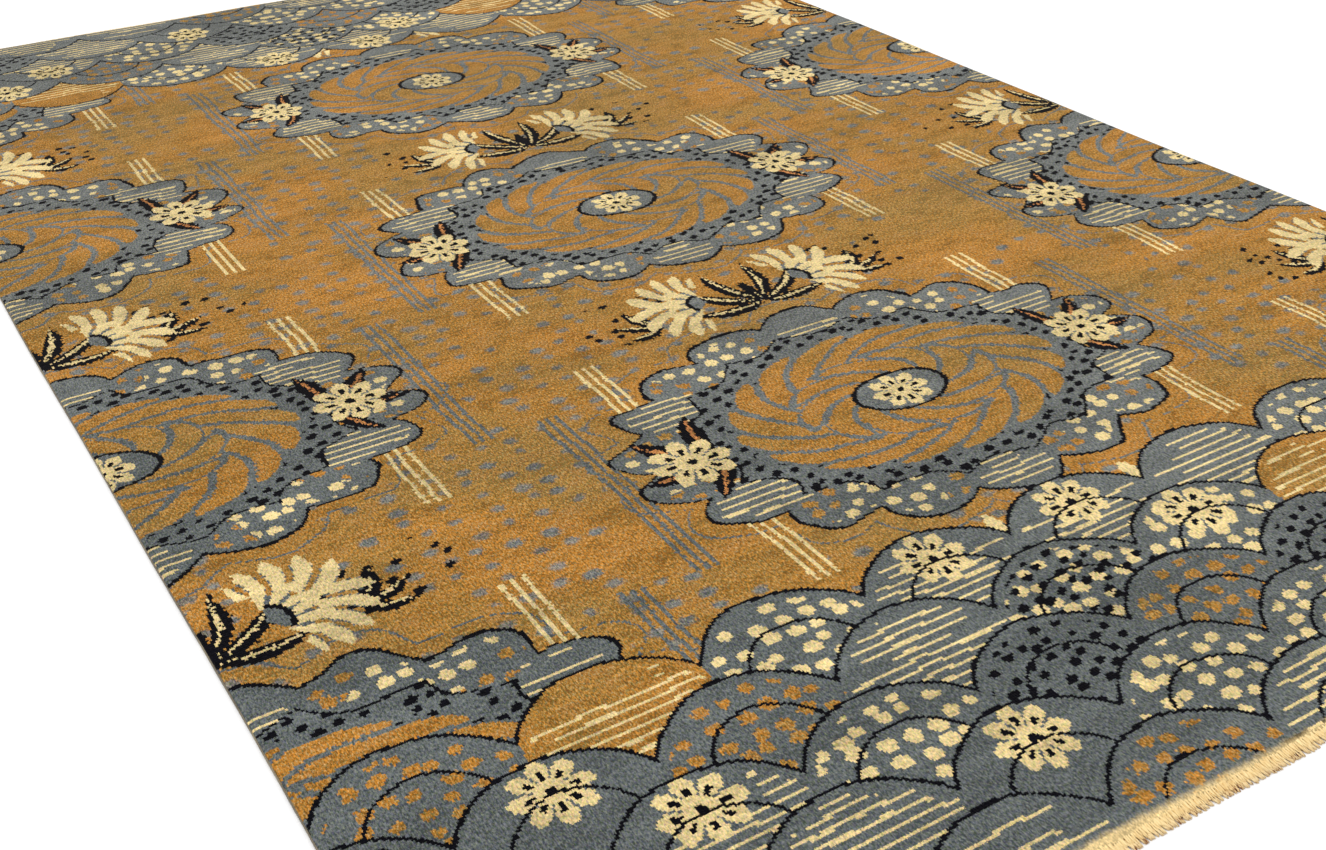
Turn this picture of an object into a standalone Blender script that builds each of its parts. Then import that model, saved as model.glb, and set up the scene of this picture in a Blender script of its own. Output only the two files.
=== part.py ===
# Hand-knotted wool rug, lying flat.
# Metres, +Z up. The origin is at the centre of the underside, +X runs across the rug and
# +Y along it, away from the near end. The underside lies on z = 0.

import math
import random

import bmesh
import bpy

# Overall size, with the side cords and the fringes
rug_width = 2.05
rug_length = 3.20

# The knotted field
field_thickness = 0.008      # foundation and clipped pile
shoulder_height = 0.0045     # the edge stands upright up to here
shoulder_inset = 0.003       # from there the clipped pile rounds in
top_unevenness = 0.0007      # how far the pile's surface rises and falls
cells_across = 28
cells_along = 44

# The overcast cord along each side
cord_radius = 0.0025
cord_bevel_resolution = 2    # eight sides

# The woven strip at each end, and the short warp ends that stand out of it
strip_width = 0.010
strip_thickness = 0.003
strand_length = 0.012
strand_thickness = 0.0024
strand_tip_share = 0.62      # a tip's width as a share of its root's
strand_lean = 0.005          # how far a tip leans to one side at most
strand_least_lean = 0.4      # the least lean as a share of that
strand_shortest = 0.72       # the shortest strand as a share of the longest
strands_per_cell = 5         # 140 at each end

gap = 0.0003                 # between pieces that meet

field_half_width = rug_width / 2 - 2 * cord_radius - gap
field_half_length = rug_length / 2 - strip_width - strand_length - gap

# How each edge of the field is drawn in from a straight line between its corners:
# waves along the edge, and how deep each one is in metres, and its phase in turns
edge_waves = {
    "left": ((1.3, 0.0022, 0.10), (4.7, 0.0008, 0.35)),
    "right": ((1.7, 0.0025, 0.60), (5.3, 0.0009, 0.15)),
    "near": ((1.2, 0.0014, 0.80), (6.5, 0.0027, 0.68)),
    "far": ((1.6, 0.0018, 0.25), (4.7, 0.0022, 0.70)),
}
edge_cells = {"left": cells_along, "right": cells_along, "near": cells_across, "far": cells_across}

# Low rises and hollows of the pile's surface: waves across, waves along, phase in turns
surface_waves = ((1.7, 2.1, 0.1), (3.1, 1.3, 0.4), (2.3, 4.6, 0.7))


def wave_depth(edge, t):
    """How far a smooth edge is drawn in at t, from 0 to 1 between its corners."""
    total = sum(depth * (1 + math.sin(math.tau * (waves * t + turn)))
                for waves, depth, turn in edge_waves[edge])
    return total * math.sin(math.pi * t)


def drawn_in(edge, t):
    """The same in straight stretches, one for each cell, so that neighbours meet face to face."""
    cells = edge_cells[edge]
    cell = min(max(int(t * cells), 0), cells - 1)
    start = wave_depth(edge, cell / cells)
    end = wave_depth(edge, (cell + 1) / cells)
    share = min(max(t * cells - cell, 0.0), 1.0)
    return start + (end - start) * share


def side_x(edge, t):
    """x of the field's left or right edge at t along the rug."""
    sign = -1 if edge == "left" else 1
    return sign * (field_half_width - drawn_in(edge, t))


def end_y(edge, t):
    """y of the field's near or far edge at t across the rug."""
    sign = -1 if edge == "near" else 1
    return sign * (field_half_length - drawn_in(edge, t))


def field_point(across, along):
    """A point of the field's plan, from its shares across and along."""
    left, right = side_x("left", along), side_x("right", along)
    near, far = end_y("near", across), end_y("far", across)
    return left + (right - left) * across, near + (far - near) * along


def surface_height(across, along):
    """The pile's height, slightly uneven inside the edges."""
    rise = sum(math.sin(math.tau * (waves_x * across + waves_y * along + turn))
               for waves_x, waves_y, turn in surface_waves) / len(surface_waves)
    fade = math.sin(math.pi * across) * math.sin(math.pi * along)
    return field_thickness + top_unevenness * rise * math.sqrt(max(fade, 0.0))


def fabric_material(name, colour, roughness):
    """A cloth material of one colour."""
    material = bpy.data.materials.new(name)
    material.use_nodes = True
    shader = material.node_tree.nodes["Principled BSDF"]
    shader.inputs["Base Color"].default_value = (*colour, 1)
    shader.inputs["Roughness"].default_value = roughness
    shader.inputs["Metallic"].default_value = 0
    return material


def add_object(name, mesh_source, material):
    """A new object from a bmesh."""
    bmesh.ops.recalc_face_normals(mesh_source, faces=mesh_source.faces)
    mesh = bpy.data.meshes.new(name)
    mesh_source.to_mesh(mesh)
    mesh_source.free()
    mesh.materials.append(material)
    piece = bpy.data.objects.new(name, mesh)
    bpy.context.scene.collection.objects.link(piece)
    return piece


def extrude_rim(shape, edges):
    """Pulls a new row of faces out of a loop of edges; gives the new edges and points."""
    made = bmesh.ops.extrude_edge_only(shape, edges=edges)["geom"]
    new_edges = [part for part in made if isinstance(part, bmesh.types.BMEdge)]
    rim = [edge for edge in new_edges if len(edge.link_faces) == 1]
    points = {point for edge in rim for point in edge.verts}
    return rim, points


def make_field(material):
    """The knotted field: an uneven top, a rounded shoulder and a flat underside."""
    shape = bmesh.new()
    bmesh.ops.create_grid(shape, x_segments=cells_across, y_segments=cells_along, size=0.5)
    shrink_x = 1 - shoulder_inset / field_half_width
    shrink_y = 1 - shoulder_inset / field_half_length
    for point in shape.verts:
        across, along = point.co.x + 0.5, point.co.y + 0.5
        x, y = field_point(across, along)
        point.co = (x * shrink_x, y * shrink_y, surface_height(across, along))
    rim = [edge for edge in shape.edges if edge.is_boundary]
    shoulder, points = extrude_rim(shape, rim)
    for point in points:
        point.co = (point.co.x / shrink_x, point.co.y / shrink_y, shoulder_height)
    base, points = extrude_rim(shape, shoulder)
    for point in points:
        point.co.z = 0
    bmesh.ops.contextual_create(shape, geom=base)
    return add_object("pile_field", shape, material)


def make_cord(edge, material):
    """The overcast cord along one side, from one end of the strips to the other."""
    sign = -1 if edge == "left" else 1
    reach = field_half_length + gap + strip_width
    rows = [(side_x(edge, row / cells_along), field_point(0 if sign < 0 else 1, row / cells_along)[1])
            for row in range(cells_along + 1)]
    offset = sign * (gap + cord_radius)
    places = [(rows[0][0] + offset, -reach)]
    places += [(x + offset, y) for x, y in rows]
    places += [(rows[-1][0] + offset, reach)]

    curve = bpy.data.curves.new(f"side_cord_{edge}", "CURVE")
    curve.dimensions = "3D"
    curve.bevel_depth = cord_radius
    curve.bevel_resolution = cord_bevel_resolution
    curve.use_fill_caps = True
    spline = curve.splines.new("POLY")
    spline.points.add(len(places) - 1)
    for point, (x, y) in zip(spline.points, places):
        point.co = (x, y, cord_radius, 1)
    curve.materials.append(material)
    piece = bpy.data.objects.new(f"side_cord_{edge}", curve)
    bpy.context.scene.collection.objects.link(piece)
    return piece


def make_fringe(edge, seed, material):
    """The woven strip across one end, with its short leaning warp ends."""
    sign = -1 if edge == "near" else 1
    columns = cells_across * strands_per_cell
    shape = bmesh.new()
    rows = []
    for column in range(columns + 1):
        across = column / columns
        x = (2 * across - 1) * field_half_width
        inner = end_y(edge, across) + sign * gap
        outer = inner + sign * strip_width
        rows.append([shape.verts.new(place) for place in (
            (x, inner, 0), (x, outer, 0), (x, outer, strip_thickness), (x, inner, strip_thickness))])
    outer_faces = []
    for left, right in zip(rows, rows[1:]):
        sides = [shape.faces.new((left[side], left[(side + 1) % 4], right[(side + 1) % 4], right[side]))
                 for side in range(4)]
        outer_faces.append(sides[1])
    shape.faces.new(rows[0])
    shape.faces.new(rows[-1][::-1])

    uneven = random.Random(seed)
    strands = bmesh.ops.extrude_discrete_faces(shape, faces=outer_faces)["faces"]
    for number, tip in enumerate(strands):
        centre = tip.calc_center_median()
        share = uneven.uniform(strand_shortest, 1) if number else 1  # the corner strand is whole
        length = strand_length * share
        lean = strand_lean * uneven.uniform(strand_least_lean, 1)
        for point in tip.verts:
            point.co.x = centre.x + (point.co.x - centre.x) * strand_tip_share + lean
            point.co.y += sign * length
            point.co.z = min(point.co.z, strand_thickness)
    return add_object(f"fringe_{edge}", shape, material)


def clear_scene():
    for piece in list(bpy.data.objects):
        bpy.data.objects.remove(piece, do_unlink=True)


def main():
    clear_scene()
    pile = fabric_material("wool_pile", (0.48, 0.22, 0.05), 0.95)
    cord = fabric_material("overcast_cord", (0.13, 0.12, 0.09), 0.9)
    cotton = fabric_material("warp_cotton", (0.78, 0.62, 0.36), 0.9)
    make_field(pile)
    make_cord("left", cord)
    make_cord("right", cord)
    make_fringe("near", 11, cotton)
    make_fringe("far", 23, cotton)


main()
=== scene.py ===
import math

import bpy
import numpy as np
from mathutils import Matrix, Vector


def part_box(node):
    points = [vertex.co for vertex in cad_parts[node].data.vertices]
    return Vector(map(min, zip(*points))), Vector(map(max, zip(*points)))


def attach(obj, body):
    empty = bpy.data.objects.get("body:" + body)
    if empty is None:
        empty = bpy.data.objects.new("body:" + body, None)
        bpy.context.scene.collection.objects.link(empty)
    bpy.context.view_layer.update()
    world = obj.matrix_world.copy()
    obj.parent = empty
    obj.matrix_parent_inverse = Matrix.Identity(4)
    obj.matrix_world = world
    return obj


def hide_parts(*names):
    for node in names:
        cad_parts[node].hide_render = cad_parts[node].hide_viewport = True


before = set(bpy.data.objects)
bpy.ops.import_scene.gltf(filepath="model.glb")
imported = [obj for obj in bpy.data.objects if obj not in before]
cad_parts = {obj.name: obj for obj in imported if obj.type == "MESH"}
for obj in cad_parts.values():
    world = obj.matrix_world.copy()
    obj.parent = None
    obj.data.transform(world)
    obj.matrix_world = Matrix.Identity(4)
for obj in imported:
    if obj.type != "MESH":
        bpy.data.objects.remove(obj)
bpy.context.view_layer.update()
print("frame loaded:", sorted(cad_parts))

gapBetween = 0.0003                        # the space the solids keep between pieces
fieldLow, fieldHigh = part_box("pile_field")
halfWidth, halfLength = fieldHigh.x, fieldHigh.y
cordLow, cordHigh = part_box("side_cord_left")
stripWidth = cordHigh.y - halfLength - gapBetween


def sRgb(red, green, blue):
    # a colour as eyes and paint cards give it, turned into light
    return tuple((c / 255 / 12.92) if c / 255 <= 0.04045 else ((c / 255 + 0.055) / 1.055) ** 2.4
                 for c in (red, green, blue)) + (1.0,)


# The camera stands at the rug's near left, at the photo's angle
view = {
    "place": (-1.2859, -2.2630, 1.1236),
    "right": (0.8500, -0.5266, -0.0143),
    "up": (0.2846, 0.4362, 0.8537),
    "lens": 42.23,
    "sensor": 36.0,
}


def makeCamera():
    data = bpy.data.cameras.new("photoView")
    data.sensor_width = view["sensor"]
    data.lens = view["lens"]
    data.clip_end = 60
    camera = bpy.data.objects.new("photoView", data)
    bpy.context.scene.collection.objects.link(camera)
    right, up = np.array(view["right"]), np.array(view["up"])
    right = right / np.linalg.norm(right)
    back = np.cross(right, up)
    back = back / np.linalg.norm(back)
    up = np.cross(back, right)
    turn = Matrix(np.column_stack([right, up, back]).tolist()).to_4x4()
    camera.matrix_world = Matrix.Translation(view["place"]) @ turn
    bpy.context.scene.camera = camera


makeCamera()
print("camera set")


# Shader maths: a wire is one output socket, and an expression on wires adds Math nodes

class Wire:
    def __init__(self, tree, socket):
        self.tree = tree
        self.socket = socket

    def node(self, kind, settings, inputs, output=0):
        made = self.tree.nodes.new("ShaderNode" + kind)
        for name, value in settings.items():
            if name == "stops":
                setStops(made.color_ramp, value)
            else:
                setattr(made, name, value)
        for name, value in inputs.items():
            if isinstance(value, Wire):
                self.tree.links.new(value.socket, made.inputs[name])
            else:
                made.inputs[name].default_value = value
        return Wire(self.tree, made.outputs[output])

    def math(self, operation, *values):
        return self.node("Math", {"operation": operation}, dict(enumerate(values)))

    def __add__(self, other):
        return self.math("ADD", self, other)

    __radd__ = __add__

    def __sub__(self, other):
        return self.math("SUBTRACT", self, other)

    def __rsub__(self, other):
        return self.math("SUBTRACT", other, self)

    def __mul__(self, other):
        return self.math("MULTIPLY", self, other)

    __rmul__ = __mul__

    def __truediv__(self, other):
        return self.math("DIVIDE", self, other)

    def __rtruediv__(self, other):
        return self.math("DIVIDE", other, self)

    def __mod__(self, other):
        return self.math("FLOORED_MODULO", self, other)

    def __lt__(self, other):
        return self.math("LESS_THAN", self, other)

    def __gt__(self, other):
        return self.math("GREATER_THAN", self, other)

    def __and__(self, other):
        return self.math("MULTIPLY", self, other)

    def __or__(self, other):
        return self.math("MAXIMUM", self, other)

    def __neg__(self):
        return self.math("MULTIPLY", self, -1.0)

    def __abs__(self):
        return self.math("ABSOLUTE", self)

    def mix(self, other, share):
        # this value where share is 0, the other where it is 1
        return self.node("Mix", {"data_type": "FLOAT"}, {0: share, 2: self, 3: other})

    def tinted(self, other, share, blend="MIX"):
        # the same for colours
        settings = {"data_type": "RGBA", "blend_type": blend}
        return self.node("Mix", settings, {0: share, 6: self, 7: other}, 2)

    def ease(self, start, end):
        # 0 before start, 1 after end, smooth between them
        return self.node("MapRange", {"interpolation_type": "SMOOTHSTEP"},
                         {"Value": self, "From Min": start, "From Max": end})


def setStops(ramp, stops):
    ramp.interpolation = "CONSTANT"
    while len(ramp.elements) > 1:
        ramp.elements.remove(ramp.elements[-1])
    ramp.elements[0].position = stops[0][0]
    ramp.elements[0].color = stops[0][1]
    for place, colour in stops[1:]:
        ramp.elements.new(place).color = colour


def newMaterial(name):
    # a material, its Principled shader and a wire to start from
    material = bpy.data.materials.new(name)
    material.use_nodes = True
    tree = material.node_tree
    shader = tree.nodes["Principled BSDF"]
    return material, shader, Wire(tree, None).node("TexCoord", {}, {}, "Object")


def connect(wire, shader, name):
    wire.tree.links.new(wire.socket, shader.inputs[name])


def split(vector):
    # the three parts of a vector or colour
    first = vector.node("SeparateXYZ", {}, {0: vector})
    return [Wire(vector.tree, out) for out in first.socket.node.outputs]


def dyed(share, dyeWhereNone, dyeWhereFull):
    # a colour between two fixed ones
    return share.node("Mix", {"data_type": "RGBA"}, {0: share, 6: dyeWhereNone, 7: dyeWhereFull}, 2)


def joined(x, y, z=0.0):
    return x.node("CombineXYZ", {}, {0: x, 1: y, 2: z})


def lengthOf(x, y):
    return x.math("SQRT", x * x + y * y)


def angleOf(x, y):
    return x.math("ARCTAN2", y, x)


def roundOff(value):
    return value.math("ROUND", value)


def downTo(value):
    return value.math("FLOOR", value)


def hashOf(x, y=0.0):
    # an even random number from 0 to 1 for each pair of whole numbers
    return x.node("TexWhiteNoise", {"noise_dimensions": "2D"}, {"Vector": joined(x, y)}, 0)


def noiseOf(vector, scale, detail=0.0, roughness=0.5, output="Fac"):
    settings = {"noise_dimensions": "2D"}
    inputs = {"Vector": vector, "Scale": scale, "Detail": detail, "Roughness": roughness}
    return vector.node("TexNoise", settings, inputs, output)


# The knotted pattern: all of it is in metres on the rug, and each knot has one dye
pattern = {
    "knotAcross": 0.0029,
    "knotAlong": 0.0037,
    "fuzz": (0.0009, 0.0016),    # how far fibres stray over a knot's edge, across and along
    "wander": 0.012,             # how far the drawn lines wander
    "columnPitch": 1.025,        # medallions stand in columns, each dropped by half a row
    "rowPitch": 0.80,
    "medallion": (0.455, 0.290),
    "lobes": 18,
    "outline": 0.0031,
    "linePitch": 0.0150,
    "lineShare": 0.28,
    "spotPitch": 0.0285,
    "speckPitch": 0.0205,
    "hazePitch": 0.0350,
    "borderRows": 4,
    "scaleRadius": 0.135,
    "scalePitch": 0.228,
    "scaleRow": 0.098,
    "stepAside": 0.0018,         # how far single knots step out of a drawn line
    "dotSteps": 0.0036,          # how uneven the gold dots' edges are
    "blossom": (0.0068, 0.0116), # a ground dot's full middle and its faded edge
}

# Short stripes beside a medallion: their middle's place, their pitch, half a line's share, their reach
stripes = {
    "cream": (0.352, 0.0150, 0.19, 0.300),
    "slate": (0.462, 0.0135, 0.22, 0.205),
}

# Fans of leaves: place, turn in degrees, leaves, angle between them, length, width, bend
leaves = {
    "spray": ((0.000, -0.062), 38, 4, 0.62, 0.150, 0.0180, 0.34),
    "spraySide": ((0.180, -0.050), 4, 3, 0.62, 0.088, 0.0150, 0.40),
    "medallionPoint": ((0.318, 0.0), 0, 4, 0.95, 0.126, 0.0170, 0.30),
}

dyes = {
    "gold": (0, sRgb(157, 111, 40)),
    "slate": (1, sRgb(103, 106, 104)),
    "navy": (2, sRgb(5, 5, 12)),
    "cream": (3, sRgb(211, 189, 135)),
    "copper": (4, sRgb(176, 118, 68)),
}
gold, slate, navy, cream, copper = (float(dyes[name][0]) for name in dyes)


def turned(x, y, degrees):
    # x and y on axes turned by that angle
    c, s = math.cos(math.radians(degrees)), math.sin(math.radians(degrees))
    return x * c + y * s, y * c - x * s


def sprig(dye, x, y, own, place, degrees, leaves, step, length, width, bend, vein=cream):
    # a fan of curved pointed leaves, navy with a pale vein and ragged edges
    along, across = turned(x - place[0], y - place[1], degrees)
    r, spread = lengthOf(along, across), angleOf(along, across)
    reach = (leaves - 1) / 2
    number = roundOff(spread / step + reach % 1) - reach % 1
    number = number.math("MAXIMUM", number.math("MINIMUM", number, reach), -reach)
    along = r / (length - abs(number) * (0.10 * length))
    belly = along * (1 - along) * 4
    off = abs(r * (spread - number * step - along * bend)) + (own - 0.5) * 0.0050
    dye = dye.mix(navy, (off < width * belly) & (belly > 0))
    return dye.mix(vein, (off < belly * (0.24 * width) - 0.0012) & (belly > 0.30))


def rosette(dye, x, y, radius, petals, petalDye, gapDye, eyeDye):
    # a small round flower with rounded petals and dark specks
    r, around = lengthOf(x, y), angleOf(x, y)
    wave = abs(x.math("COSINE", around * (petals / 2)))
    inside = r < radius * (0.66 + 0.34 * wave)
    dye = dye.mix(petalDye, inside)
    dye = dye.mix(gapDye, (wave < 0.22) & inside & (r > radius * 0.36))
    specks = (abs(r - radius * 0.52) < radius * 0.13) & (wave > 0.86)
    return dye.mix(eyeDye, specks | (r < radius * 0.13))


def petalRing(dye, rho, around, outer, petals, curl, dip, own):
    # a ring of round-tipped gold petals that all curl one way, over a slate shade
    wave = abs(rho.math("SINE", around * (petals / 2) + rho * curl))
    tip = outer - (1 - wave) * (1 - wave) * dip
    dye = dye.mix(slate, rho < tip + 0.026)
    return dye.mix(gold, (rho < tip) & (wave + (own - 0.5) * 0.22 > 0.36))


def carnation(dye, x, y, place, degrees, radius):
    # two fans of cream petals over a small slate cup
    up, side = turned(x - place[0], y - place[1], degrees)
    r, spread = lengthOf(up, side) / radius, abs(angleOf(up, side))
    wave = x.math("SINE", spread * 17.6 - r * 9.4)
    fan = (r < 0.94 - 0.10 * spread * spread + 0.10 * wave) & (spread < 1.50) & (r > 0.46)
    dye = dye.mix(slate, fan & (wave > -0.72)).mix(cream, fan & (wave > -0.44))
    wave = x.math("SINE", spread * 13.0 + 2.4 + r * 8.0)
    fan = (r < 0.50 + 0.09 * wave) & (spread < 1.25) & (r > 0.22)
    dye = dye.mix(slate, fan).mix(cream, fan & (wave > -0.60))
    cup = (r < 0.27) & (spread < 1.05)
    return dye.mix(slate, cup).mix(navy, cup & (r > 0.21))


def weftLines(x, y, reach):
    # cream lines one row of knots thick, with uneven ends
    pitch = pattern["linePitch"]
    line = downTo(y / pitch)
    uneven = hashOf(line, roundOff(x * 2.4) + 7)
    return (((y / pitch) % 1.0) < pattern["lineShare"]) & (reach > 0.010 + 0.055 * uneven * uneven)


def scattered(x, y, pitch, degrees, stretch):
    # a scatter of roughly even spots, as (distance in metres, a random number for each, another)
    along, across = turned(x, y, degrees)
    place = joined(along / stretch, across)
    settings = {"voronoi_dimensions": "2D", "feature": "F1"}
    distance = place.node("TexVoronoi", settings,
                          {"Vector": place, "Scale": 1 / pitch, "Randomness": 0.50}, "Distance")
    own = split(Wire(place.tree, distance.socket.node.outputs["Color"]))
    return distance * pitch, own[0], own[1]


def sized(scatter, radius, uneven=0.35):
    # the spots of a scatter at that radius, some larger than others
    return scatter[0] < (scatter[1] * uneven + (1 - uneven / 2)) * radius


def fieldMotifs(x, y, spots, specks, warp, own):
    # the half-drop field: medallions, and a spray of flowers between each two in a column
    columnPitch, rowPitch = pattern["columnPitch"], pattern["rowPitch"]
    column = roundOff(x / columnPitch)
    drop = abs(column) * (rowPitch / 2)
    row = roundOff((y - drop) / rowPitch)
    px = x - column * columnPitch
    py = y - drop - row * rowPitch
    ax, ay = abs(px), abs(py)

    # three cream stripes off each shoulder of a medallion, and slate ones beside them
    dye = x * 0.0
    for stripeDye, (middle, pitch, half, reach) in ((cream, stripes["cream"]), (slate, stripes["slate"])):
        stripe = (ax - middle) / pitch
        lines = abs(stripe - roundOff(stripe)) < half
        dye = dye.mix(stripeDye, lines & (abs(stripe) < 1.4) & (ay < reach))

    # the spray
    gy = py - px.math("SIGN", py) * (rowPitch / 2)
    dye = sprig(dye, ax, gy, own, *leaves["spray"])
    dye = sprig(dye, ax, gy, own, *leaves["spraySide"])
    dye = carnation(dye, ax, gy, (0.082, -0.022), 20, 0.128)
    beside = lengthOf(ax - 0.215, (gy + 0.010) * 1.6)
    dye = dye.mix(navy, sized(specks, 0.0052) & (beside < 0.115) & (specks[2] < 0.42) & (dye < 0.5))

    # the medallion
    wide, tall = pattern["medallion"]
    ex, ey = px / wide, py / tall
    rho, around = lengthOf(ex, ey), angleOf(ex, ey) + (warp - 0.5) * 0.16
    lobe = abs(px.math("SINE", around * (pattern["lobes"] / 2)))
    rim = 0.885 + 0.115 * lobe
    inward = lengthOf(px, py) * (rim / rho - 1)        # metres inside the scalloped rim
    dye = dye.mix(slate, (inward > 0) | ((abs(inward + 0.034) < 0.0019) & (dye < 0.5)))
    sector = px.math("COSINE", around * 6)
    contour = 0.770 - 0.075 * lobe
    ring = (inward > 0.014) & (rho > contour)
    goldDots = sized(spots, (own - 0.5) * pattern["dotSteps"] + 0.0080)
    dye = dye.mix(gold, goldDots & ring & (abs(sector) < 0.34))
    lines = weftLines(px, py, inward) & ring & (sector < -0.30)
    dots = sized(spots, 0.0086, 0.3) & ring & (sector > 0.40)
    dye = dye.mix(cream, lines | dots)
    inner = (rho < contour) & (rho > 0.56)
    dye = dye.mix(navy, sized(specks, 0.0056) & inner)
    dye = dye.mix(navy, (abs(inward) < pattern["outline"]) | (abs(rho - contour) < 0.0062))

    # its gold inner rose
    dye = petalRing(dye, rho, around, 0.600, 16, 24.0, 0.080, own)
    dye = petalRing(dye, rho, around, 0.365, 10, -22.0, 0.070, own)
    dye = dye.mix(slate, rho < 0.165).mix(navy, abs(rho - 0.165) < 0.009)
    dye = rosette(dye, px, py, 0.046, 8, cream, slate, navy)

    # a small cream flower between leaves at each point of the medallion
    dye = sprig(dye, ax, py, own, *leaves["medallionPoint"], copper)
    return rosette(dye, ax - 0.352, py, 0.056, 8, cream, slate, navy), inward < 0


def borderScales(dye, ground, x, y, spots, specks, own):
    # rows of overlapping scales across each end, the outer rows lying over the inner ones
    radius, pitch, rowHeight = pattern["scaleRadius"], pattern["scalePitch"], pattern["scaleRow"]
    up = halfLength - abs(y)                   # metres in from the end
    level = up / rowHeight + 0.35
    lowRow = downTo(level) - 1
    best = None
    for back in (0, 1, 2):                     # the row nearest the end wins
        row = lowRow + back
        shift = (row % 2.0) * 0.5
        column = roundOff(x / pitch - shift) + shift
        r = lengthOf(x - column * pitch, (level - row) * rowHeight)
        if best is None:
            best = (r, row, column)
        else:
            outside = best[0] > radius
            best = tuple(old.mix(new, outside) for old, new in zip(best, (r, row, column)))
    r, row, column = best
    covered = (row < pattern["borderRows"] + 0.5) & (r < radius)
    kind = hashOf(column * 2 + 11, row * 3 + 5)
    dye = dye.mix(kind > 0.13, covered)        # gold where that is 0, slate where it is 1
    depth = radius - r
    inside = covered & (depth > 0.016)
    lines = weftLines(x, up, depth) & inside & (kind < 0.42)
    dots = sized(spots, 0.0088, 0.3) & inside & (abs(kind - 0.56) < 0.12)
    dye = dye.mix(cream, lines | dots)
    goldDots = sized(spots, (own - 0.5) * pattern["dotSteps"] + 0.0084)
    dye = dye.mix(gold, goldDots & inside & (kind > 0.86))
    dye = dye.mix(navy, sized(specks, 0.0054) & inside & (abs(kind - 0.76) < 0.10))
    sx, sy = x - column * pitch, (level - row) * rowHeight - 0.082
    flowers = covered & (abs(kind - 0.40) < 0.06)
    flower = rosette(dye, sx, sy, 0.050, 8, cream, slate, navy)
    dye = dye.mix(flower, flowers)
    arc = (abs(r - radius * 0.57) < pattern["outline"] * 0.7) & (kind > 0.30)
    dye = dye.mix(navy, ((depth < 2 * pattern["outline"] - 0.0014) | arc) & covered)
    return dye, ground & (1 - covered)


def knotDyes(place):
    # the dye number of the knot at a place, how much slate lies over its gold in the ground's
    # soft dots, a random number for each knot, and the place's parts
    x, y, z = split(place)
    stray = split(noiseOf(joined(x, y), 720, 0.0, 0.5, "Color"))
    fuzz = pattern["fuzz"]
    column = downTo((x + (stray[0] - 0.5) * (2 * fuzz[0])) / pattern["knotAcross"])
    row = downTo((y + (stray[1] - 0.5) * (2 * fuzz[1])) / pattern["knotAlong"])
    own = hashOf(column, row)
    kx = (column + 0.5) * pattern["knotAcross"]
    ky = (row + 0.5) * pattern["knotAlong"]
    drift = split(noiseOf(joined(kx, ky), 9.0, 1.0, 0.55, "Color"))
    kx = kx + (drift[0] - 0.5) * pattern["wander"] + (own - 0.5) * pattern["stepAside"]
    ky = ky + (drift[1] - 0.5) * pattern["wander"]
    spots = scattered(kx, ky, pattern["spotPitch"], 0, 1.15)
    specks = scattered(kx, ky, pattern["speckPitch"], 24, 1.45)
    dye, ground = fieldMotifs(kx, ky, spots, specks, drift[2], own)
    dye, ground = borderScales(dye, ground, kx, ky, spots, specks, own)
    crowd = noiseOf(joined(kx, ky), 3.4, 1.0, 0.6)
    dots = scattered(kx, ky, pattern["hazePitch"], 0, 1.40)
    haze = 1 - (dots[0] + dots[2] * 0.0040 + (own - 0.5) * 0.0034).ease(*pattern["blossom"])
    haze = haze & (dots[1] < (crowd - 0.31) * 4.6) & (dye < 0.5) & ground
    return dye, haze * (1.0 - 0.20 * dots[1]), own, (x, y, z)


pileLook = {
    "warmGold": sRgb(164, 110, 38),
    "fadedGold": sRgb(164, 127, 62),
    "dullGold": sRgb(124, 86, 40),
    "paleFibre": sRgb(178, 164, 138),
    "paleSlate": sRgb(120, 124, 119),
    "paintedShadeSlate": sRgb(80, 87, 88),       # painted shade: the slate is painted darker towards the near left, over the near border
    "rimCream": sRgb(226, 198, 142),
    "knotVariation": 0.44,
    "hueVariation": (0.40, 0.56, 1.00),
    "darkest": 0.54,             # how far grain may darken a dye
    "fadeStart": 0.0085,         # the last rows of pile turn cream over this stretch
    "fadeEnd": -0.0042,
    "fadeSway": 0.0038,          # how far that stretch comes and goes along the end
    "roughness": 0.93,
    "gloss": 0.04,
    "sheen": 0.03,
    "sheenTint": sRgb(250, 236, 214),
    "bump": 0.0018,
    "napScale": 17.0,            # noise scales, each the number of waves in a metre
    "patchScale": 2.6,
    "fibreScale": 430.0,
    "napContrast": 1.90,
    "fibreContrast": 2.30,
    "paintedLightAcross": 0.05,       # painted light: how much brighter the right side is painted
}


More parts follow.
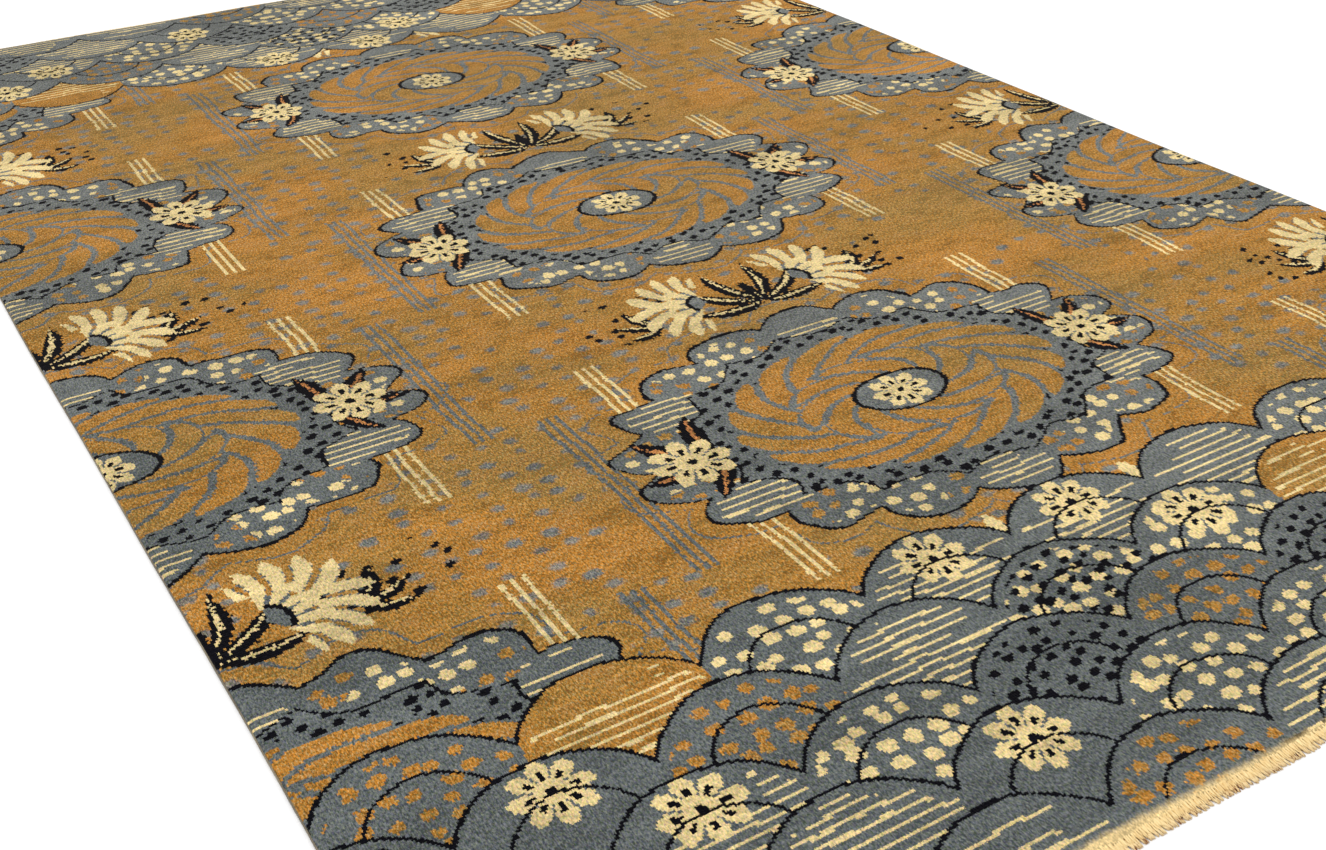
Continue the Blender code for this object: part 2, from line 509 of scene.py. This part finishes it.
def pileMaterial():
    material, shader, place = newMaterial("woolPile")
    dye, haze, own, (x, y, z) = knotDyes(place)
    stops = [(0.0, dyes["gold"][1]), (0.125, dyes["slate"][1]), (0.375, dyes["navy"][1]),
             (0.625, dyes["cream"][1]), (0.875, dyes["copper"][1])]
    colour = dye.node("ValToRGB", {"stops": stops}, {0: dye / 4})
    isGold, isSlate, isCream = dye < 0.5, abs(dye - 1) < 0.5, abs(dye - 3) < 0.5

    # dye lots, the brushed nap and fibres
    patches = noiseOf(joined(x, y * 1.8), pileLook["patchScale"], 3.0, 0.55)
    nap = noiseOf(joined(x, y * 1.7), pileLook["napScale"], 4.0, 0.76)
    lots = noiseOf(joined(x * 0.25, y * 9.0), 3.0, 1.0, 0.6)
    fibre = split(noiseOf(joined(x, y * 0.44), pileLook["fibreScale"], 1.0, 0.9, "Color"))
    colour = colour.tinted(pileLook["warmGold"], isGold * patches.ease(0.42, 0.68) * 0.80)
    colour = colour.tinted(pileLook["fadedGold"], isGold * (1 - patches).ease(0.46, 0.70) * 0.70)
    colour = colour.tinted(pileLook["dullGold"], isGold * nap.ease(0.47, 0.68) * 0.65)
    colour = colour.tinted(pileLook["paleSlate"], isSlate * nap.ease(0.45, 0.72) * 0.20)
    # painted shade: slate darkened towards the near left end
    colour = colour.tinted(pileLook["paintedShadeSlate"], isSlate * (-y - x * 0.9).ease(0.3, 1.7) * 0.75)
    colour = colour.tinted(dyes["slate"][1], haze)
    pale = fibre[1].ease(0.46, 0.72) * (isGold * 0.28 + isSlate * 0.10)
    colour = colour.tinted(pileLook["paleFibre"], pale)
    grain = (nap - 0.5) * (pileLook["napContrast"] - isSlate * 1.30)
    grain = grain + (fibre[0] - 0.5) * pileLook["fibreContrast"]
    grain = (grain + (own - 0.5) * pileLook["knotVariation"]) * (1 - isCream * 0.50)
    # the level is grain, dye lots and patches, with painted light brightening the right side
    level = 1.0 + grain + (lots - 0.5) * 0.40 + (patches - 0.5) * 0.90 + x * pileLook["paintedLightAcross"]
    level = level.math("MAXIMUM", level, pileLook["darkest"])
    shades = [level + (part - 0.5) * amount for part, amount in zip(fibre, pileLook["hueVariation"])]
    colour = colour.tinted(joined(*shades), 1.0, "MULTIPLY")

    # the cream rows at each end, which come and go along it
    left = halfLength - abs(y) - x.math("SINE", x * 10.5 + 5.77) * pileLook["fadeSway"]
    ragged = left + (nap - 0.5) * 0.008 + (own - 0.5) * 0.003
    fade = 1 - ragged.ease(pileLook["fadeEnd"], pileLook["fadeStart"])
    shade = level * 0.75 + 0.25
    rim = joined(*(shade * part for part in pileLook["rimCream"][:3]))
    colour = colour.tinted(rim, fade)

    # the back, where the weft shows between the rows of knots
    back = 1 - z.ease(0.0008, 0.0022)
    weft = abs((y / pattern["knotAlong"]) % 1.0 - 0.5) > 0.34
    colour = colour.tinted(rim, back * weft * 0.75)
    connect(colour, shader, "Base Color")

    dome = abs(x.math("SINE", x * (math.pi / pattern["knotAcross"])))
    dome = dome * abs(x.math("SINE", y * (math.pi / pattern["knotAlong"])))
    height = dome * 0.30 + noiseOf(joined(x, y * 0.5), 330.0, 1.0, 0.75)
    bump = dye.node("Bump", {}, {"Strength": 0.8, "Distance": pileLook["bump"], "Height": height})
    connect(bump, shader, "Normal")
    shader.inputs["Roughness"].default_value = pileLook["roughness"]
    shader.inputs["Specular IOR Level"].default_value = pileLook["gloss"]
    shader.inputs["Sheen Weight"].default_value = pileLook["sheen"]
    shader.inputs["Sheen Roughness"].default_value = 0.45
    shader.inputs["Sheen Tint"].default_value = pileLook["sheenTint"]
    return material


# The rug's outline: how each edge is drawn in, close to how the solids are
edgeWaves = {
    "left": ((1.3, 0.0022, 0.10), (4.7, 0.0008, 0.35)),
    "right": ((1.7, 0.0025, 0.60), (5.3, 0.0009, 0.15)),
    "near": ((1.2, 0.0003, 0.80), (6.5, 0.0010, 0.98)),
    "far": ((1.6, 0.0018, 0.25), (4.7, 0.0022, 0.70)),
}


def drawnIn(edge, t):
    total = sum(depth * (1 + np.sin(math.tau * (waves * t + turn)))
                for waves, depth, turn in edgeWaves[edge])
    return total * np.sin(math.pi * np.clip(t, 0, 1))


def sideX(sign, t):
    return sign * (halfWidth - drawnIn("left" if sign < 0 else "right", t))


def endY(sign, t):
    return sign * (halfLength - drawnIn("near" if sign < 0 else "far", t))


def addPiece(name, points, faces, material, smooth=True):
    mesh = bpy.data.meshes.new(name)
    mesh.from_pydata(np.asarray(points, float).tolist(), [], [list(map(int, face)) for face in faces])
    mesh.materials.append(material)
    mesh.validate()
    if smooth:
        mesh.shade_smooth()
    piece = bpy.data.objects.new(name, mesh)
    bpy.context.scene.collection.objects.link(piece)
    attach(piece, "root")
    return piece


def ringPiece(name, rings, material):
    # closed tubes from rings of points: tubes, rings in each, points in each ring
    tubes, steps, sides = rings.shape[:3]
    ring = np.arange(sides)
    following = np.roll(ring, -1)
    base = np.arange(steps - 1)[:, None] * sides
    corners = [base + ring, base + following, base + following + sides, base + ring + sides]
    walls = np.stack(corners, axis=-1)
    starts = np.arange(tubes) * (steps * sides)
    walls = (walls.reshape(-1, 4)[None] + starts[:, None, None]).reshape(-1, 4)
    caps = np.concatenate([ring[::-1] + starts[:, None], ring + starts[:, None] + (steps - 1) * sides])
    return addPiece(name, rings.reshape(-1, 3), walls.tolist() + caps.tolist(), material)


def yarnRings(x, y, z, wide, high, sign, sides):
    # rings around yarns that run along y, towards the side of the rug that sign gives
    around = np.arange(sides) * (math.tau / sides)
    ringX = x[..., None] + wide * np.cos(around)
    ringZ = z[..., None] - sign * high * np.sin(around)
    return np.stack([ringX, np.broadcast_to(y[..., None], ringX.shape), ringZ], axis=-1)


# The knotted field as one fine cloth
fieldShape = {
    "thickness": 0.008,
    "footHeight": 0.0032,        # the foundation's edge stands upright up to here
    "edgeHeight": 0.0052,        # and the pile leans out over it up to here
    "overhang": {"side": 0.0039, "end": 0.0070},
    "roundOver": 0.0070,
    "edgeSteps": (0.0, 0.0006, 0.0015, 0.0028, 0.0045, 0.0072, 0.012),
    "across": 146,
    "along": 232,
    "unevenness": 0.0007,
    "surfaceWaves": ((1.7, 2.1, 0.1), (3.1, 1.3, 0.4), (2.3, 4.6, 0.7)),
    "ripple": 0.00035,
}


def edgedSteps(half, steps, count):
    # places from -half to half, close together at both edges
    steps = np.array(steps)
    middle = np.linspace(-half + steps[-1], half - steps[-1], count + 1)[1:-1]
    return np.concatenate([-half + steps, middle, half - steps[::-1]])


def makeField(material):
    xs = edgedSteps(halfWidth, fieldShape["edgeSteps"], fieldShape["across"])
    ys = edgedSteps(halfLength, fieldShape["edgeSteps"], fieldShape["along"])
    gridX, gridY = np.meshgrid(xs, ys)
    u, v = (gridX / halfWidth + 1) / 2, (gridY / halfLength + 1) / 2
    x = sideX(-1, v) + (sideX(1, v) - sideX(-1, v)) * u
    y = endY(-1, u) + (endY(1, u) - endY(-1, u)) * v
    rise = sum(np.sin(math.tau * (a * u + b * v + c)) for a, b, c in fieldShape["surfaceWaves"]) / 3
    fade = np.sqrt(np.clip(np.sin(math.pi * u) * np.sin(math.pi * v), 0, 1))
    ripple = np.sin(41 * x + 3 * np.sin(7 * y)) * np.sin(33 * y + 2 * np.sin(9 * x))
    top = fieldShape["thickness"] + fade * (fieldShape["unevenness"] * rise + fieldShape["ripple"] * ripple)
    inward = np.minimum(halfWidth - abs(gridX), halfLength - abs(gridY))
    share = np.clip(inward / fieldShape["roundOver"], 0, 1)
    z = fieldShape["edgeHeight"] + (top - fieldShape["edgeHeight"]) * np.sqrt(1 - (1 - share) ** 2)
    edgeness = 1 - np.clip(inward / fieldShape["edgeSteps"][4], 0, 1)
    out = fieldShape["overhang"]
    across = np.clip((abs(gridX) - halfWidth) / fieldShape["edgeSteps"][4] + 1, 0, 1)
    along = np.clip((abs(gridY) - halfLength) / fieldShape["edgeSteps"][4] + 1, 0, 1)
    topX = x + np.sign(gridX) * out["side"] * across * edgeness
    topY = y + np.sign(gridY) * out["end"] * along * edgeness
    rows, columns = x.shape
    upper = np.column_stack([topX.ravel(), topY.ravel(), z.ravel()])
    lower = np.column_stack([x.ravel(), y.ravel(), np.zeros(x.size)])
    index = np.arange(x.size).reshape(rows, columns)
    a, b, c, d = index[:-1, :-1], index[:-1, 1:], index[1:, 1:], index[1:, :-1]
    faces = np.column_stack([k.ravel() for k in (a, b, c, d)])
    under = faces[:, ::-1] + x.size
    rim = np.concatenate([index[0, :-1], index[:-1, -1], index[-1, :0:-1], index[:0:-1, 0]])
    foot = lower[rim] + np.array([0, 0, fieldShape["footHeight"]])
    footRim = np.arange(len(rim)) + 2 * x.size
    walls = [np.column_stack([low, np.roll(low, -1), np.roll(high, -1), high])
             for low, high in ((rim + x.size, footRim), (footRim, rim))]
    faces = np.concatenate([faces, under] + walls)
    points = np.concatenate([upper, lower, foot])
    return addPiece("pileField", points, faces, material)


pileFinish = pileMaterial()
print("pile material made,", len(pileFinish.node_tree.nodes), "nodes")
field = makeField(pileFinish)
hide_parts("pile_field")
print("knotted field made")


# The overcast cord along each side: wool wound around the outermost warps
cordLook = {
    "radius": 0.00215,
    "reach": 0.0050,             # from the field's edge to the cord's outer side
    "wrapPitch": 0.0034,
    "ringsPerWrap": 4,
    "sides": 10,
    "relief": 0.13,
    "unevenness": 0.05,
    "wool": sRgb(112, 103, 88),
    "darkWoolAndGrooveShade": sRgb(62, 60, 58),
    "paleWool": sRgb(158, 146, 122),
}


def cordMaterial():
    material, shader, place = newMaterial("overcastWool")
    x, y, z = split(place)
    turn = y / cordLook["wrapPitch"] + z * (0.5 / cordLook["radius"]) * x.math("SIGN", x)
    own = hashOf(downTo(turn), x.math("SIGN", x))
    fibre = noiseOf(joined(x * 0.5 + z * 0.6, y * 2.0), 900.0, 2.0, 0.65)
    cords = noiseOf(joined(x, y), 14.0, 2.0, 0.6)
    groove = abs(turn % 1.0 - 0.5).ease(0.30, 0.50)
    colour = dyed(cords.ease(0.45, 0.75) * 0.55 + own * 0.25, cordLook["wool"], cordLook["paleWool"])
    # painted shade in the grooves between wraps, with dark fibres on top
    colour = colour.tinted(cordLook["darkWoolAndGrooveShade"], groove * 0.55 + fibre.ease(0.55, 0.80) * 0.35)
    connect(colour, shader, "Base Color")
    height = fibre * 0.5 - groove * 0.6
    connect(x.node("Bump", {}, {"Strength": 0.7, "Distance": 0.0005, "Height": height}), shader, "Normal")
    shader.inputs["Roughness"].default_value = 0.88
    shader.inputs["Specular IOR Level"].default_value = 0.15
    shader.inputs["Sheen Weight"].default_value = 0.12
    return material


def makeCord(sign, material):
    reach = halfLength + gapBetween + stripWidth
    steps = int(2 * reach / cordLook["wrapPitch"] * cordLook["ringsPerWrap"])
    y = np.linspace(-reach, reach, steps + 1)
    radius = cordLook["radius"]
    x = sideX(sign, np.clip((y / halfLength + 1) / 2, 0, 1))
    x = x + sign * (gapBetween + cordLook["reach"] - radius)
    phase = y[:, None] / cordLook["wrapPitch"] + np.arange(cordLook["sides"]) / cordLook["sides"]
    wound = 1 + cordLook["relief"] * (abs(np.sin(math.pi * phase)) - 0.62)
    wound = wound + cordLook["unevenness"] * np.sin(y * 61 + 2 * np.sin(y * 17))[:, None]
    left = np.clip((reach - abs(y)) / radius, 0, 1)
    size = radius * wound * (0.35 + 0.65 * np.sqrt(1 - (1 - left) ** 2))[:, None]
    z = np.full_like(y, radius)
    rings = yarnRings(x, y, z, size, size, 1, cordLook["sides"])[None]
    rings[..., 2] = np.clip(rings[..., 2], 0, None)
    return ringPiece("sideCordLeft" if sign < 0 else "sideCordRight", rings, material)


# The last rows of cream pile, which lean out over the woven strip
tuftLook = {
    "count": 702,
    "rows": (                    # start in from the end, its height, reach, the tip's height
        {"inset": -0.0040, "height": 0.0055, "reach": 0.0105, "tipHeight": 0.0038},
        {"inset": -0.0056, "height": 0.0043, "reach": 0.0108, "tipHeight": 0.0032},
    ),
    "halfWidth": 0.00165,
    "halfHeight": 0.0010,
    "tipShare": 0.42,
    "lean": 0.0016,
    "sides": 5,
    "cream": sRgb(248, 224, 168),
    "deepCream": sRgb(222, 184, 120),
}

# The woven strip at each end, and the twisted warp ends beyond it: two to a bundle, over a lower one
fringeLook = {
    "stripHeight": 0.0026,
    "ribs": 6,
    "ribRelief": 0.00040,
    "weaveRelief": 0.00012,
    "bundles": 450,
    "layers": (
        # the lower yarns lie low, so the painted shade browns them where they show between bundles
        {"yarns": 1, "radius": 0.00170, "tip": 0.00120, "rise": 0.0015, "share": 0.88, "gather": 0.0},
        {"yarns": 2, "radius": 0.00120, "tip": 0.00086, "rise": 0.0029, "share": 1.00, "gather": 0.50},
    ),
    "lumps": 0.13,               # how uneven a yarn's thickness is
    "rootInset": 0.0058,         # the yarns leave the weave this far inside the strip's outer edge
    "shortest": 0.0098,
    "longest": 0.0120,
    "clump": 0.0006,             # how much longer whole groups of bundles are
    "lean": 0.0046,
    "sides": 6,
    "cotton": sRgb(252, 230, 178),
    "deepCotton": sRgb(230, 190, 128),
    "shadow": sRgb(112, 62, 34),
}


def creamMaterial(name, pale, deep, shadow=None):
    # cream yarn, streaked along its length, with painted shade: brown where it lies low between its
    # neighbours and in some gaps
    material, shader, place = newMaterial(name)
    x, y, z = split(place)
    own = hashOf(downTo(x / pattern["knotAcross"]))
    streak = noiseOf(joined(x, y * 0.16), 700.0, 2.0, 0.65)
    drift = noiseOf(joined(x, y), 30.0, 2.0, 0.6)
    share = streak.ease(0.42, 0.72) * 0.55 + drift.ease(0.45, 0.70) * 0.35 + own * 0.18
    colour = dyed(share, pale, deep)
    if shadow:
        # painted shade: brown where the yarn lies low, and darker in some gaps
        low = 1 - z.ease(0.0007, 0.0034)
        gapShade = streak.ease(0.53, 0.66) * drift.ease(0.45, 0.57) * z.ease(0.0001, 0.0008)
        colour = colour.tinted(shadow, low * 0.42 + gapShade * 0.80)
    connect(colour, shader, "Base Color")
    ply = abs(x.math("SINE", x * 900 + y * 1500))
    height = streak + ply * 0.25
    connect(x.node("Bump", {}, {"Strength": 0.7, "Distance": 0.0005, "Height": height}), shader, "Normal")
    shader.inputs["Roughness"].default_value = 0.90
    shader.inputs["Specular IOR Level"].default_value = 0.15
    shader.inputs["Sheen Weight"].default_value = 0.08
    return material


def makeTufts(sign, material, draw):
    count, sides = tuftLook["count"], tuftLook["sides"]
    along = np.array([0.0, 0.36, 0.72, 1.0])
    thin = 1 - (1 - tuftLook["tipShare"]) * along ** 1.5
    thin[-1] *= 0.45
    rings = []
    for row in tuftLook["rows"]:
        u = (np.arange(count) + 0.5 + draw.uniform(-0.3, 0.3, count)) / count
        start = endY(sign, u) - sign * row["inset"]
        reach = row["reach"] * draw.uniform(0.78, 1.0, count)
        lean = tuftLook["lean"] * draw.uniform(-0.6, 1.0, count)
        rise = draw.uniform(-0.0004, 0.0005, count)
        x = (2 * u - 1)[:, None] * (halfWidth - 0.0025) + lean[:, None] * along
        y = start[:, None] + sign * reach[:, None] * along
        z = row["height"] + rise[:, None] + (row["tipHeight"] - row["height"]) * along ** 1.4
        size = (thin * draw.uniform(0.85, 1.15, count)[:, None])[..., None]
        wide, high = size * tuftLook["halfWidth"], size * tuftLook["halfHeight"]
        rings.append(yarnRings(x, y, z, wide, high, sign, sides))
    name = "endTuftsNear" if sign < 0 else "endTuftsFar"
    return ringPiece(name, np.concatenate(rings), material)


def stripRings(sign, columns):
    # the strip's cross-section, ribbed on top, at each warp along the end
    ribs = fringeLook["ribs"]
    across = np.linspace(0, 1, 3 * ribs + 1)
    u = np.linspace(0, 1, columns + 1)[:, None]
    weave = np.where((np.arange(columns + 1)[:, None] + np.floor(across * ribs)) % 2 > 0, 1, -1)
    shoulder = np.sqrt(np.clip(np.sin(math.pi * np.clip(across, 0.03, 0.97)) * 4, 0, 1))
    ribbed = fringeLook["ribRelief"] * abs(np.sin(math.pi * ribs * across))
    top = fringeLook["stripHeight"] * shoulder + ribbed + fringeLook["weaveRelief"] * weave
    inner = endY(sign, u) + sign * gapBetween
    y = inner + sign * stripWidth * across
    x = np.broadcast_to((2 * u - 1) * halfWidth, y.shape)
    upper = np.stack([x, y, top], axis=-1)
    lower = np.stack([x[:, ::-9], y[:, ::-9], np.zeros_like(y[:, ::-9])], axis=-1)
    ring = np.concatenate([upper, lower], axis=1)
    return ring[None] if sign > 0 else ring[None, :, ::-1]


def makeFringe(sign, material, draw):
    bundles, sides = fringeLook["bundles"], fringeLook["sides"]
    ending = "Near" if sign < 0 else "Far"
    made = [ringPiece("endStrip" + ending, stripRings(sign, 3 * bundles), material)]
    along = np.array([0, 0.14, 0.30, 0.46, 0.62, 0.78, 0.92, 1.0])
    middle = ((np.arange(bundles) + 0.5) / bundles)[:, None, None]
    own = {key: draw.uniform(low, high, (bundles, 1, 1)) for key, low, high in (
        ("length", fringeLook["shortest"], fringeLook["longest"]),
        ("lean", 0.25, 1.0),
        ("gather", 0.0, 1.3))}
    turn = draw.uniform(0, math.tau, 3)
    clump = sum(np.sin(middle * waves + start) for waves, start in zip((310, 467, 725), turn)) / 3
    own["length"] = own["length"] + fringeLook["clump"] * clump
    for layer in fringeLook["layers"]:
        each = layer["yarns"]
        beside = (np.arange(each) - (each - 1) / 2)[None, :, None] * (2 * halfWidth / (bundles * each))
        straight = (2 * middle - 1) * halfWidth + beside
        t = np.clip((straight / halfWidth + 1) / 2, 0, 1)
        root = endY(sign, t) + sign * (gapBetween + stripWidth - fringeLook["rootInset"])
        length = own["length"] * layer["share"] * draw.uniform(0.90, 1.0, (bundles, each, 1))
        y = root + sign * (length + fringeLook["rootInset"]) * along
        bow = draw.uniform(-0.0010, 0.0010, (bundles, each, 1)) * np.sin(math.pi * along)
        x = straight + fringeLook["lean"] * own["lean"] * along ** 1.4 + bow
        x = x - beside * layer["gather"] * own["gather"] * along ** 1.5
        radius = layer["radius"] + (layer["tip"] - layer["radius"]) * along
        radius = radius * np.array([1, 1, 1, 1, 1, 1, 0.90, 0.45])
        drop = np.clip((along - 0.28) / 0.62, 0, 1)
        z = radius + (layer["rise"] - layer["radius"]) * (1 - drop * drop * (3 - 2 * drop))
        z = z + draw.uniform(0, 0.0004, (bundles, each, 1)) + 0 * x
        radius = radius * draw.uniform(1 - fringeLook["lumps"], 1 + fringeLook["lumps"], x.shape)
        twist = np.arange(sides) * (math.tau / sides) - along[:, None] * 8.0
        size = radius[..., None] * (1 + 0.13 * np.cos(2 * twist))
        rings = yarnRings(x, y, z, size, size, sign, sides).reshape(bundles * each, len(along), sides, 3)
        rings[..., 2] = np.clip(rings[..., 2], 0, None)
        made.append(ringPiece(f"endYarns{ending}{len(made)}", rings, material))
    return made


cordWool = cordMaterial()
cords = [makeCord(sign, cordWool) for sign in (-1, 1)]
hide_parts("side_cord_left")
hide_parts("side_cord_right")
print("side cords overcast")

creamPile = creamMaterial("creamPile", tuftLook["cream"], tuftLook["deepCream"])
cottonColoursAndShade = [fringeLook[name] for name in ("cotton", "deepCotton", "shadow")]
warpCotton = creamMaterial("warpCotton", *cottonColoursAndShade)
trims = list(cords)
for sign, node in ((-1, "fringe_near"), (1, "fringe_far")):
    draw = np.random.default_rng(40 + sign)
    trims.append(makeTufts(sign, creamPile, draw))
    strip = makeFringe(sign, warpCotton, draw)
    for piece in strip:
        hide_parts(node)
    trims += strip
print("ends fringed:", len(trims), "pieces of trim")


# A plain pale floor and soft studio light
studio = {
    "floor": sRgb(246, 246, 246),
    "world": 1.0,
    "sun": 0.92,
    "softness": 60,              # degrees that the light's source spans
    "lean": (-24, -30, 0),       # degrees that it leans from overhead
    "floorReach": 30.0,
}


def makeStudio():
    material, shader = newMaterial("paleFloor")[:2]
    shader.inputs["Base Color"].default_value = studio["floor"]
    shader.inputs["Roughness"].default_value = 0.9
    mesh = bpy.data.meshes.new("floor")
    reach = studio["floorReach"]
    corners = [(-reach, -reach, -gapBetween), (reach, -reach, -gapBetween),
               (reach, reach, -gapBetween), (-reach, reach, -gapBetween)]
    mesh.from_pydata(corners, [], [(0, 1, 2, 3)])
    mesh.materials.append(material)
    floor = bpy.data.objects.new("floor", mesh)
    bpy.context.scene.collection.objects.link(floor)
    world = bpy.data.worlds.new("studioLight")
    bpy.context.scene.world = world
    world.use_nodes = True
    world.node_tree.nodes["Background"].inputs["Color"].default_value = (1, 1, 1, 1)
    world.node_tree.nodes["Background"].inputs["Strength"].default_value = studio["world"]
    data = bpy.data.lights.new("softbox", "SUN")
    data.energy = studio["sun"]
    data.angle = math.radians(studio["softness"])
    lamp = bpy.data.objects.new("softbox", data)
    lamp.rotation_euler = [math.radians(angle) for angle in studio["lean"]]
    bpy.context.scene.collection.objects.link(lamp)
    bpy.context.scene.view_settings.view_transform = "Standard"


makeStudio()
print("floor and light made")
